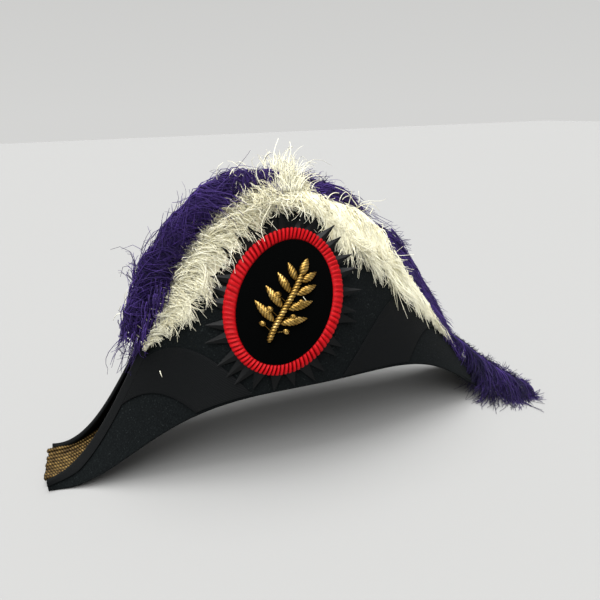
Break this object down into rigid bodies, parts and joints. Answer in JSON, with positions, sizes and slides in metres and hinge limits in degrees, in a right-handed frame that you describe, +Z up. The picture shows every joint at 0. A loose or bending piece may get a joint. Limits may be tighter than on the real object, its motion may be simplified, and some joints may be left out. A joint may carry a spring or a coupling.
{
  "type": "plumed bicorne hat",
  "caption": "Fore-and-aft dress hat of black felt with turned-up flaps, pleated rosette badge, gold bullion tip and a fringe of ostrich plumes along the ridge.",
  "frame": {"origin": "middle of the box round the hat, on the surface where its two tips rest", "axes": "+X towards the rear tip, +Y away from the dressed side, +Z up"},
  "size_m": [0.4414, 0.1384, 0.2345],
  "materials": {
    "felt": "matte napped felt",
    "black_ribbon": "ribbed ribbon with a low sheen",
    "red_ribbon": "pleated ribbon with a low sheen",
    "velvet": "velvet pile",
    "gold_bullion": "dulled twisted metal thread",
    "white_feather": "soft matte barbs",
    "purple_feather": "soft matte barbs"
  },
  "bodies": {
    "root": {"near_flap": "felt", "far_flap": "felt", "crown": "felt", "near_binding": "black_ribbon", "far_binding": "black_ribbon", "front_band": "black_ribbon", "rear_band": "black_ribbon", "badge_points": "black_ribbon", "badge_ring": "red_ribbon", "badge_field": "velvet", "badge_sprig": "gold_bullion", "tip_bullion": "gold_bullion", "white_plume": "white_feather", "purple_plume": "purple_feather", "purple_tail": "purple_feather"}
  },
  "joints": []
}
